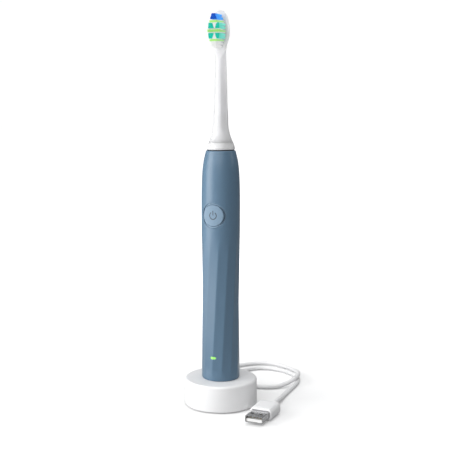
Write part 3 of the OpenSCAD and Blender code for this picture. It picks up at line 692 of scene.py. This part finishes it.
def handle():
    zs = [18.6, 18.66, 18.75, 18.9, 19.1, 19.35, 19.65, 20]
    z = 20.5
    while z < 174.4:
        zs.append(z)
        z += 0.5 if 31 <= z < 39 else 1.0
    zs += [174.6, 174.85, 175.0, 175.12, 175.22, 175.3, 175.35]
    rows = len(zs)
    verts, faces = [], []
    for z in zs:
        for i in range(COLS):
            verts.append(on_skin(edge_a(z) + 30 * i / PER, z))
    # the inside, with columns in the same places
    inner_z = [18.6, 24, 31, 35, 39, 60, 90, 118] + [121 + k for k in range(0, 24)] + [150, 155, 163.5, 172, 175.35]
    base = len(verts)
    for z in inner_z:
        r = 11.0 if z <= 155 else (lerp(11.0, 8.6, (z - 155) / 17) if z < 172 else 8.6)
        for i in range(COLS):
            a = math.radians(edge_a(z) + 30 * i / PER)
            verts.append((r * math.sin(a), -r * math.cos(a), z))

    def hole(grid_z, first, centre, half, r, reach_x, reach_z, rings, inward, surf):
        """Opens a hole in a grid. The rows and columns within reach are replaced by rings that close in on its edge."""
        rows_in = [s for s, z in enumerate(grid_z) if abs(z - centre) < reach_z]
        s0, s1 = rows_in[0], rows_in[-1]
        cols = []
        for i in range(-COLS // 2, COLS // 2):
            a = edge_a(centre) + 30 * i / PER
            a = (a + 180) % 360 - 180
            if abs(13 * math.sin(math.radians(a))) < reach_x and abs(a) < 90:
                cols.append((a, i % COLS))
        cols = [i for a, i in sorted(cols)]
        loop = [first + s0 * COLS + i for i in cols]
        loop += [first + s * COLS + cols[-1] for s in range(s0 + 1, s1 + 1)]
        loop += [first + s1 * COLS + i for i in reversed(cols[:-1])]
        loop += [first + s * COLS + cols[0] for s in range(s1 - 1, s0, -1)]
        gone = {(s, i) for s in range(s0, s1) for i in cols[:-1]}
        last = loop
        ends = []
        for v in loop:
            x, _, z = verts[v]
            d = pill(x, z - centre, half, r)
            n = math.hypot(x, z - centre)
            ends.append((x / n, (z - centre) / n, d, n))
        out = []
        for k in range(1, rings + 1):
            t = k / rings
            ring = []
            for ux, uz, d, n in ends:
                e = d + 0.3
                q = lerp(n, e, t)
                ring.append(len(verts))
                verts.append(surf(ux * q, centre + uz * q))
            out.append((last, ring))
            last = ring
        for off, deep in inward:
            ring = []
            for ux, uz, d, n in ends:
                q = d + off
                x, y, z = surf(ux * q, centre + uz * q)
                ring.append(len(verts))
                verts.append((x, y + deep, z))
            out.append((last, ring))
            last = ring
        return gone, out, last

    edge = [(0.16, 0.03), (0.06, 0.10), (0.01, 0.20), (0.0, 0.34)]
    g1, b1, end1 = hole(zs, 0, BTN_Z, 8.4, 8.4, 10.4, 11.6, 5, edge, lambda x, z: front_skin(x, z))
    g2, b2, end2 = hole(zs, 0, LED_Z, 2.03, 0.83, 4.4, 3.2, 4, [(0.14, 0.02), (0.05, 0.06), (0.0, 0.14)], lambda x, z: front_skin(x, z))
    flip = []
    for last, ring in b1 + b2:
        m = len(last)
        for i in range(m):
            j = (i + 1) % m
            faces.append([last[i], last[j], ring[j], ring[i]])
    for s in range(rows - 1):
        for i in range(COLS):
            if (s, i) in g1 or (s, i) in g2:
                continue
            j = (i + 1) % COLS
            faces.append([s * COLS + i, s * COLS + j, (s + 1) * COLS + j, (s + 1) * COLS + i])
    # walls of the two holes, down to the bore
    for end in (end1, end2):
        low = []
        for v in end:
            x, y, z = verts[v]
            low.append(len(verts))
            verts.append((x, front_bore(x, z)[1], z))
        m = len(end)
        for i in range(m):
            j = (i + 1) % m
            faces.append([end[i], end[j], low[j], low[i]])
        if end is end1:
            g3, b3, end3 = hole(inner_z, base, BTN_Z, 8.4, 8.4, 10.2, 12.2, 2, [], front_bore)
            # join the bore's hole to the wall above by its nearest ring
            hole_low1 = low
        else:
            hole_low2 = low
    # the bore: its hole behind the button is made of the same directions as the wall, so close it by angle
    inner_faces = []
    for last, ring in b3:
        m = len(last)
        for i in range(m):
            j = (i + 1) % m
            inner_faces.append([last[j], last[i], ring[i], ring[j]])
    for s in range(len(inner_z) - 1):
        for i in range(COLS):
            if (s, i) in g3:
                continue
            j = (i + 1) % COLS
            inner_faces.append([base + s * COLS + j, base + s * COLS + i, base + (s + 1) * COLS + i, base + (s + 1) * COLS + j])
    faces += inner_faces
    # zip the two loops of different counts together
    def angle(v):
        x, _, z = verts[v]
        return math.atan2(z - BTN_Z, x)

    def zip_loops(a, b):
        a = sorted(a, key=angle)
        b = sorted(b, key=angle)
        i = j = 0
        na, nb = len(a), len(b)
        while i < na or j < nb:
            ai, bj = angle(a[i % na]) + (2 * math.pi if i >= na else 0), angle(b[j % nb]) + (2 * math.pi if j >= nb else 0)
            an = angle(a[(i + 1) % na]) + (2 * math.pi if i + 1 >= na else 0)
            bn = angle(b[(j + 1) % nb]) + (2 * math.pi if j + 1 >= nb else 0)
            if j >= nb or (i < na and an <= bn):
                faces.append([a[i % na], a[(i + 1) % na], b[j % nb]])
                i += 1
            else:
                faces.append([a[i % na], b[(j + 1) % nb], b[j % nb]])
                j += 1

    zip_loops(hole_low1, end3)
    # rims at the bottom and the top
    for a0, b0, way in ((0, base, 1), ((rows - 1) * COLS, base + (len(inner_z) - 1) * COLS, -1)):
        for i in range(COLS):
            j = (i + 1) % COLS
            f = [a0 + i, b0 + i, b0 + j, a0 + j]
            faces.append(f if way > 0 else f[::-1])
    return verts, faces, hole_low2


v, f, lamp_loop = handle()
f.append(list(lamp_loop))
housing = mesh_piece("handle_shell", v, f, [MATS["handle_blue"]], "handle", ["handle_housing"], sharp=55)

# lamp: a lens that bends over the edge between two facets
def lens(half, r, centre, lift, depth, rings=5, seg=48):
    verts, faces = [front_skin(0, centre, lift)], []
    levels = [(k / rings, lift) for k in range(1, rings + 1)]
    levels = [(t * 0.9, lift - 0.02 * t * t) for t, _ in levels] + [(0.96, lift - 0.05), (0.99, lift - 0.1), (1.0, lift - 0.18), (1.0, -depth)]
    for t, out in levels:
        for k in range(seg):
            a = 2 * math.pi * k / seg
            d = pill(math.cos(a), math.sin(a), half, r) * t
            x, y, z = front_skin(d * math.cos(a), centre + d * math.sin(a), 0)
            verts.append((x, y - out, z))
    for k in range(seg):
        faces.append([0, 1 + k, 1 + (k + 1) % seg])
    for s in range(len(levels) - 1):
        for k in range(seg):
            j = (k + 1) % seg
            faces.append([1 + s * seg + k, 1 + (s + 1) * seg + k, 1 + (s + 1) * seg + j, 1 + s * seg + j])
    faces.append([1 + (len(levels) - 1) * seg + seg - 1 - k for k in range(seg)])
    return verts, faces


v, f = lens(1.98, 0.79, LED_Z, 0.04, 1.7)
mesh_piece("lamp_lens", v, f, [MATS["lamp_green"]], "handle", ["led_window"], sharp=60)

# ------------------------------------------------------------------ button
CAP_R, CAP_Y, CAP_C = 30.0, 12.75, 17.25      # the face is a shallow barrel about an upright line behind the axis


def face_y(x):
    return -(math.sqrt(CAP_R ** 2 - x * x) - CAP_C)


def cap_surface(rho, a):
    """The cap's front at a place on it: the barrel, then a rolled edge."""
    x, z = rho * math.cos(a), rho * math.sin(a)
    edge = clamp((rho - 6.75) / 0.55)
    return (x, face_y(x) + 0.42 * (1 - math.sqrt(1 - edge * edge)), BTN_Z + z)


def button():
    seg = 128
    rings = [0.6 * k for k in range(1, 10)] + [5.8, 6.2, 6.5, 6.72, 6.85, 6.97, 7.07, 7.15, 7.21, 7.26, 7.29, 7.3]
    verts, faces = [cap_surface(0, 0)], []
    for rho in rings:
        for k in range(seg):
            verts.append(cap_surface(rho, 2 * math.pi * k / seg))
    for off, deep in ((7.3, 0.2),):
        for k in range(seg):
            x, y, z = cap_surface(off, 2 * math.pi * k / seg)
            verts.append((x, y + deep, z))
    for k in range(seg):
        a = 2 * math.pi * k / seg
        x, z = 7.3 * math.cos(a), 7.3 * math.sin(a)
        verts.append((x, -math.sqrt(max(11.75 ** 2 - x * x, 0)), BTN_Z + z))
    for rho in (5, 2):
        for k in range(seg):
            a = 2 * math.pi * k / seg
            x, z = rho * math.cos(a), rho * math.sin(a)
            verts.append((x, -math.sqrt(11.75 ** 2 - x * x), BTN_Z + z))
    for k in range(seg):
        a = 2 * math.pi * k / seg
        verts.append((2 * math.cos(a), -11.5, BTN_Z + 2 * math.sin(a)))
    levels = (len(verts) - 1) // seg
    for k in range(seg):
        faces.append([0, 1 + k, 1 + (k + 1) % seg])
    for s in range(levels - 1):
        for k in range(seg):
            j = (k + 1) % seg
            faces.append([1 + s * seg + k, 1 + (s + 1) * seg + k, 1 + (s + 1) * seg + j, 1 + s * seg + j])
    faces.append([1 + (levels - 1) * seg + seg - 1 - k for k in range(seg)])
    return verts, faces


v, f = button()
mesh_piece("button_cap", v, f, [MATS["button_blue"]], "button", ["power_button"], sharp=60)


def strip_on_face(points, width, lift=0.035, under=0.15):
    """A raised line of the given width along (x, z) points on the button's face."""
    verts, faces = [], []
    n = len(points)
    for i, (x, z) in enumerate(points):
        a, b = points[max(i - 1, 0)], points[min(i + 1, n - 1)]
        dx, dz = b[0] - a[0], b[1] - a[1]
        m = math.hypot(dx, dz)
        nx, nz = -dz / m, dx / m
        for off, h in ((-0.5, -under), (-0.5, lift * 0.4), (-0.4, lift), (0.4, lift), (0.5, lift * 0.4), (0.5, -under)):
            px, pz = x + nx * width * off, z + nz * width * off
            verts.append((px, face_y(px) - h, BTN_Z + pz))
    for i in range(n - 1):
        for k in range(6):
            j = (k + 1) % 6
            faces.append([i * 6 + k, i * 6 + j, (i + 1) * 6 + j, (i + 1) * 6 + k])
    faces.append([5, 4, 3, 2, 1, 0])
    faces.append([(n - 1) * 6 + k for k in range(6)])
    return verts, faces


arc_pts = []
for k in range(61):
    a = math.radians(90 + 34 + (360 - 68) * k / 60)
    arc_pts.append((2.43 * math.cos(a), 2.43 * math.sin(a)))
v, f = strip_on_face(arc_pts, 0.66)
v2, f2 = strip_on_face([(0, 0.2 + 0.31 * k) for k in range(11)], 0.66)
f += [[i + len(v) for i in q] for q in f2]
v += v2
icon = mesh_piece("button_icon", v, f, [MATS["button_icon"]], "button", sharp=35)

# soft seal in the groove round the button
def seal():
    seg, verts, faces = 128, [], []
    prof = [(7.42, 0.75), (7.48, 1.1), (7.6, 1.26), (7.8, 1.3), (8.0, 1.32), (8.2, 1.34), (8.32, 1.3), (8.36, 1.15), (8.36, -0.9), (7.42, -0.9)]
    for rho, h in prof:
        for k in range(seg):
            a = 2 * math.pi * k / seg
            x, z = rho * math.cos(a), rho * math.sin(a)
            verts.append((x, -(math.sqrt(max(10.8 ** 2 - x * x, 0)) + h + 0.7), BTN_Z + z))
    m = len(prof)
    for s in range(m):
        for k in range(seg):
            j, t = (k + 1) % seg, (s + 1) % m
            faces.append([s * seg + k, t * seg + k, t * seg + j, s * seg + j])
    return verts, faces


v, f = seal()
mesh_piece("groove_seal", v, f, [MATS["button_blue"]], "handle", ["button_seal"], sharp=50)

# ------------------------------------------------------------------ brush head
NECK = [(181.02, 8.2), (182.3, 7.6), (184.3, 6.85), (186.3, 6.2), (188.3, 5.65), (190.3, 5.25), (193, 5.0), (196, 4.9),
        (200, 4.8), (205, 4.55), (210, 4.41), (218, 4.27), (226, 4.0), (233.5, 3.7), (239.5, 3.58)]
HALF = NECK + [(241.5, 3.66), (243.7, 4.0), (245.7, 4.7), (247.7, 5.4), (249.6, 6.0), (251.6, 6.35), (253.5, 6.45), (255.5, 6.38),
               (257.4, 6.15), (259.3, 5.8), (261.3, 5.4), (263.2, 4.8), (265.2, 3.85), (266.3, 3.0), (266.95, 2.2), (267.35, 1.4), (267.55, 0.7), (267.62, 0.05)]
BACK = NECK[:-1] + [(239.5, 3.45), (243, 3.05), (247, 2.6), (251, 2.35), (256, 2.25), (261, 2.15), (264.5, 1.9), (266.3, 1.45),
                    (267.1, 1.0), (267.5, 0.5), (267.62, 0.05)]
FRONT = NECK[:-2] + [(228, 3.9), (232, 3.72), (236, 3.33), (239, 2.62), (241, 2.1), (243, 1.8), (264.8, 1.8), (266.2, 1.6), (267.0, 1.15), (267.45, 0.6), (267.62, 0.05)]


def section(z, m=144):
    """Outline of the brush head at a height: round in the neck, flat-fronted at the bristle plate."""
    w, b, f = table(HALF, z), table(BACK, z), table(FRONT, z)
    neck_r = table(NECK, min(z, 239.5))
    blend = smooth((z - 238) / 8)
    g = lerp(neck_r, 4.4, blend) if z < 264 else 4.4 * w / max(table(HALF, 264), 1e-6)
    g = max(g, f)
    nf = lerp(2, 4.5, blend)
    nb = lerp(2, 2.25, blend)
    flats = smooth((z - 187) / 14) * smooth((241 - z) / 5)
    pts = []
    for k in range(m):
        a = 2 * math.pi * k / m
        s, c = math.sin(a), math.cos(a)           # front is c = 1
        if c >= 0:
            q = (abs(s / w) ** nf + abs(c / g) ** nf) ** (-1 / nf)
            if c > 1e-3:
                q = soft_min(q, f / c, 0.16)
        else:
            q = (abs(s / w) ** nb + abs(c / b) ** nb) ** (-1 / nb)
        if flats > 0:
            lim = 1e9
            for n, d in ((0, 0.972), (50, 0.905), (-50, 0.905)):
                e = math.cos(a - math.radians(n))
                if e > 0.05:
                    lim = soft_min(lim, neck_r * d / e, 0.10)
            q = lerp(q, min(q, soft_min(q, lim, 0.12)), flats)
        pts.append((q * s, -q * c, z))
    return pts


def head():
    m = 144
    zs = [181.02]
    z = 181.6
    while z < 236:
        zs.append(z)
        z += 0.8
    while z < 265:
        zs.append(z)
        z += 0.4
    zs += [265.2, 265.6, 266.0, 266.3, 266.6, 266.85, 267.05, 267.2, 267.35, 267.45, 267.54, 267.6]
    verts, faces = [], []

    def ring(r, z):
        verts.extend([(r * math.sin(2 * math.pi * k / m), -r * math.cos(2 * math.pi * k / m), z) for k in range(m)])

    # the socket from inside out, then the outside
    levels = [(1.97, 198.5), (1.97, 184.4), (2.4, 184.0), (3.0, 183.9), (6.2, 181.9), (6.2, 177.6), (6.35, 177.3), (7.1, 177.3),
              (7.25, 177.45), (7.25, 180.96), (7.3, 181.0), (8.12, 181.0)]
    for r, zz in levels:
        ring(r, zz)
    for zz in zs:
        verts.extend(section(zz, m))
    n = len(levels) + len(zs)
    for s in range(n - 1):
        for k in range(m):
            j = (k + 1) % m
            faces.append([s * m + k, s * m + j, (s + 1) * m + j, (s + 1) * m + k])
    faces.append([m - 1 - k for k in range(m)])
    top = len(verts)
    verts.append((0, 0.0, 267.63))
    for k in range(m):
        faces.append([(n - 1) * m + k, (n - 1) * m + (k + 1) % m, top])
    return verts, faces


v, f = head()
mesh_piece("head_moulding", v, f, [MATS["head_white"]], "brush_head", ["brush_neck"], sharp=60)

ring = rounded([(7.3, 176.0), (9.35, 176.0, 0.15), (9.62, 176.5, 0.3), (9.28, 178.25, 0.5), (8.52, 180.35, 0.6), (8.27, 180.93, 0.12), (7.3, 180.93)], 5)
revolve("base_ring", ring, [MATS["ring_white"]], "brush_head", ["head_base_ring"], seg=160)

# black seal under the brush head, with a lip round the shaft
lip = rounded([(1.98, 174.62), (8.5, 174.62), (8.5, 175.42), (9.15, 175.42, 0.12), (9.15, 175.82, 0.15), (7.0, 175.88, 0.2), (6.6, 176.25, 0.15), (4.2, 176.25, 0.5), (2.7, 179.3, 0.2),
               (2.3, 179.5, 0.15), (1.98, 179.5)], 5)
revolve("shaft_boot", lip, [MATS["seal_black"]], "handle", ["shaft_seal"], seg=128)

# ------------------------------------------------------------------ bristles
rng = random.Random(11)
# rows of tufts: colour, height at the plate, height at the tips, row height at the tips, half widths of the row's
# lower and upper edge, distance of the tips from the axis, places across the plate
ROWS = [
    ("blue", 263.9, 263.75, 1.85, 1.95, 1.30, 12.0, (-0.83, 0.83)),
    ("blue", 261.9, 261.9, 1.85, 2.58, 1.95, 12.0, (-1.75, 0, 1.75)),
    ("lime", 259.9, 259.55, 1.9, 2.85, 2.75, 12.2, (-2.52, -0.84, 0.84, 2.52)),
    ("teal", 257.9, 257.85, 1.8, 4.05, 3.9, 11.35, (-3.5, -1.75, 0, 1.75, 3.5)),
    ("teal", 255.9, 256.05, 1.8, 4.2, 4.05, 11.35, (-3.5, -1.75, 0, 1.75, 3.5)),
    ("lime", 253.6, 253.6, 2.7, 4.5, 4.5, 11.8, (-3.6, -1.8, 0, 1.8, 3.6)),
    ("teal", 251.5, 251.2, 1.8, 4.05, 4.2, 11.35, (-3.5, -1.75, 0, 1.75, 3.5)),
    ("teal", 249.6, 249.4, 1.8, 3.7, 4.05, 11.35, (-3.4, -1.7, 0, 1.7, 3.4)),
    ("lime", 247.7, 247.5, 1.9, 2.7, 2.85, 12.2, (-2.52, -0.84, 0.84, 2.52)),
    ("white", 245.8, 245.6, 1.95, 2.0, 2.75, 11.8, (-1.75, 0, 1.75)),
    ("white", 243.9, 243.65, 1.95, 0.9, 2.0, 11.8, (-0.85, 0.85)),
]
HAIR_R = 0.12
PLACES = [(0.0, 0.0, 0.0)]
for shell, count in ((0.175, 6), (0.35, 12), (0.525, 18), (0.70, 24)):
    for k in range(count):
        PLACES.append((shell, 2 * math.pi * (k + 0.5 * (count % 4)) / count, shell / 0.70))
hair = {c: ([], [], []) for c in ("blue", "lime", "teal", "white")}
for kind, z_root, z_tip, tall, w_low, w_high, depth, xs in ROWS:
    for col, tx in enumerate(xs):
        for shell, a, share in PLACES:
            c, d = math.cos(a), math.sin(a)
            big = max(abs(c), abs(d), 1e-9)
            u, v = (share * c / big, share * d / big) if shell else (0.0, 0.0)
            u, v = u * 0.88, v * 0.9
            x0, z0 = tx + shell * c, z_root + shell * d
            z1 = z_tip + v * tall / 2 + rng.uniform(-0.05, 0.05)
            half = lerp(w_low, w_high, clamp((z1 - z_tip) / tall + 0.5)) - HAIR_R
            x1 = lerp(-half, half, (col + (u + 1) / 2) / len(xs)) + rng.uniform(-0.05, 0.05)
            off = x1 - 0.4
            colour = kind
            if kind == "teal":
                wide = lerp(0.4, 1.5, (z1 - 255.2) / 3.5) if z1 > 253.6 else lerp(1.5, 0.4, (z1 - 248.5) / 3.5)
                colour = "white" if abs(off) < wide else "teal"
            elif kind == "lime" and abs(z1 - z_tip) > (0.84 if tall > 2 else 0.64):
                colour = "white"
            length = depth + rng.uniform(-0.10, 0.08) - (0.25 if colour == "white" and kind != "white" else 0)
            if kind == "lime" and len(xs) == 5 and -1.35 < x1 < -0.6 and colour == "lime":
                length -= 1.6
            bow = (rng.uniform(-0.04, 0.04), rng.uniform(-0.04, 0.04))
            r = HAIR_R
            verts, faces, tips = hair[colour]
            base = len(verts)
            turn = rng.uniform(0, math.pi)
            levels = [(0.0, r * 0.75, 0.0), (0.4, r, 0.0), (0.955, r, 0.3), (0.985, r * 0.97, 1.0), (0.997, r * 0.8, 1.0)]
            for t, rr, tip in levels:
                y = -lerp(1.5, length, t)
                cx = lerp(x0, x1, t) + bow[0] * math.sin(math.pi * t)
                cz = lerp(z0, z1, t) + bow[1] * math.sin(math.pi * t)
                for k in range(6):
                    b = turn + math.pi * k / 3
                    verts.append((cx + rr * math.cos(b), y, cz + rr * math.sin(b)))
                    tips.append(tip)
            for q in range(len(levels) - 1):
                for k in range(6):
                    j = (k + 1) % 6
                    faces.append([base + q * 6 + k, base + (q + 1) * 6 + k, base + (q + 1) * 6 + j, base + q * 6 + j])
            verts.append((x1, -length, z1))
            tips.append(1.0)
            top = len(verts) - 1
            for k in range(6):
                faces.append([base + 24 + k, top, base + 24 + (k + 1) % 6])
            faces.append([base + k for k in range(6)])
for colour, (verts, faces, tips) in hair.items():
    ob = mesh_piece("bristles_" + colour, verts, faces, [MATS["filament_" + colour]], "brush_head", ["tufts_" + colour], sharp=50)
    at = ob.data.attributes.new("tip", "FLOAT", "POINT")
    at.data.foreach_set("value", tips)

# ------------------------------------------------------------------ softened edges on the CAD parts that stay
for name, width in (("usb_shell", 0.07), ("usb_tongue", 0.12), ("usb_contacts", 0.04), ("charger_base_cover", 0.15), ("anti_slip_ring", 0.2),
                    ("charger_screws", 0.08), ("base_cap", 0.15), ("drive_shaft", 0.1)):
    ob = frame["nodes"][name]
    mod = ob.modifiers.new("soft_edges", "BEVEL")
    mod.width, mod.segments, mod.limit_method, mod.angle_limit = width * MM, 2, "ANGLE", math.radians(40)
    mod.harden_normals = False

# ------------------------------------------------------------------ floor and light
FLOOR_TONE, FLOOR_NEAR, FLOOR_FAR = 0.83, 0.13, 1.0
floor_mat = Mat("floor_white")     # a pale sweep: dim where it lights the object, bright where it is seen, and brighter with distance
floor_mat.rough(floor_mat.ramp(floor_mat.noise(40, 2), 0.85, 0.95))
floor_mat.set(Specular_IOR_Level=0.0, Emission_Color=(1.0, 1.0, 1.0))
ft = floor_mat.t
away = ft.nodes.new("ShaderNodeVectorMath")
away.operation = "LENGTH"
ft.links.new(floor_mat.coord, away.inputs[0])
seen = ft.nodes.new("ShaderNodeLightPath")
floor_mat.colour(floor_mat.mix(seen.outputs["Is Camera Ray"], floor_mat.mix(floor_mat.ramp(floor_mat.noise(3, 2), 0, 1, 0.3, 0.7), (0.50, 0.50, 0.50), (0.52, 0.52, 0.52)), (FLOOR_TONE, FLOOR_TONE, FLOOR_TONE)))
glow = floor_mat.math("MULTIPLY", floor_mat.ramp(away.outputs["Value"], FLOOR_NEAR, FLOOR_FAR, 0.025, 0.42), seen.outputs["Is Camera Ray"])
ft.links.new(glow, floor_mat.b.inputs["Emission Strength"])
me = bpy.data.meshes.new("floor")
me.from_pydata([(-6, -6, -0.0001), (6, -6, -0.0001), (6, 6, -0.0001), (-6, 6, -0.0001)], [], [[0, 1, 2, 3]])
me.materials.append(floor_mat.m)
floor = bpy.data.objects.new("floor", me)
scene.collection.objects.link(floor)

world = bpy.data.worlds.new("studio")
scene.world = world
world.use_nodes = True
nt = world.node_tree
nt.nodes.clear()
w_out = nt.nodes.new("ShaderNodeOutputWorld")
w_mix = nt.nodes.new("ShaderNodeMixShader")
w_path = nt.nodes.new("ShaderNodeLightPath")
w_seen, w_lit = nt.nodes.new("ShaderNodeBackground"), nt.nodes.new("ShaderNodeBackground")
w_seen.inputs[0].default_value = (1, 1, 1, 1)
w_seen.inputs[1].default_value = 1.02
w_lit.inputs[0].default_value = (0.97, 0.985, 1.0, 1)
w_lit.inputs[1].default_value = 0.25
nt.links.new(w_path.outputs["Is Camera Ray"], w_mix.inputs[0])
nt.links.new(w_lit.outputs[0], w_mix.inputs[1])
nt.links.new(w_seen.outputs[0], w_mix.inputs[2])
nt.links.new(w_mix.outputs[0], w_out.inputs[0])


def softbox(name, bearing, elevation, distance, size, power, aim=(0, 0, 0.12), colour=(1, 1, 1)):
    """A rectangular light; bearing is degrees to the right of the camera as seen from the object."""
    a, e = CAM_AZ + math.radians(bearing), math.radians(elevation)
    d = Vector((math.sin(a) * math.cos(e), -math.cos(a) * math.cos(e), math.sin(e)))
    data = bpy.data.lights.new(name, "AREA")
    data.shape, data.size, data.size_y, data.energy, data.color = "RECTANGLE", size[0], size[1], power, colour
    ob = bpy.data.objects.new(name, data)
    scene.collection.objects.link(ob)
    ob.location = Vector(aim) + d * distance
    ob.rotation_mode = "QUATERNION"
    ob.rotation_quaternion = (-d).to_track_quat("-Z", "Y")
    return ob


softbox("key", -75, 4, 0.9, (0.66, 1.0), 11.5)
softbox("front", -18, 35, 1.5, (1.6, 1.2), 12.5)
softbox("top", 140, 76, 1.1, (0.9, 0.9), 6.0)
rim = softbox("edge", 84, 10, 0.6, (0.10, 0.10), 0.0205, aim=(0, 0, 0.258))
rim.data.spread = math.radians(12)      # falls on the brush head only
sweep = softbox("low", -72, 0, 0.36, (0.34, 0.5), 1.25, aim=(0, 0, 0.004))
sweep.rotation_quaternion = (1, 0, 0, 0)          # lies on the floor and faces up
sweep.rotation_mode = "XYZ"
sweep.rotation_euler = (math.pi, 0, CAM_AZ)
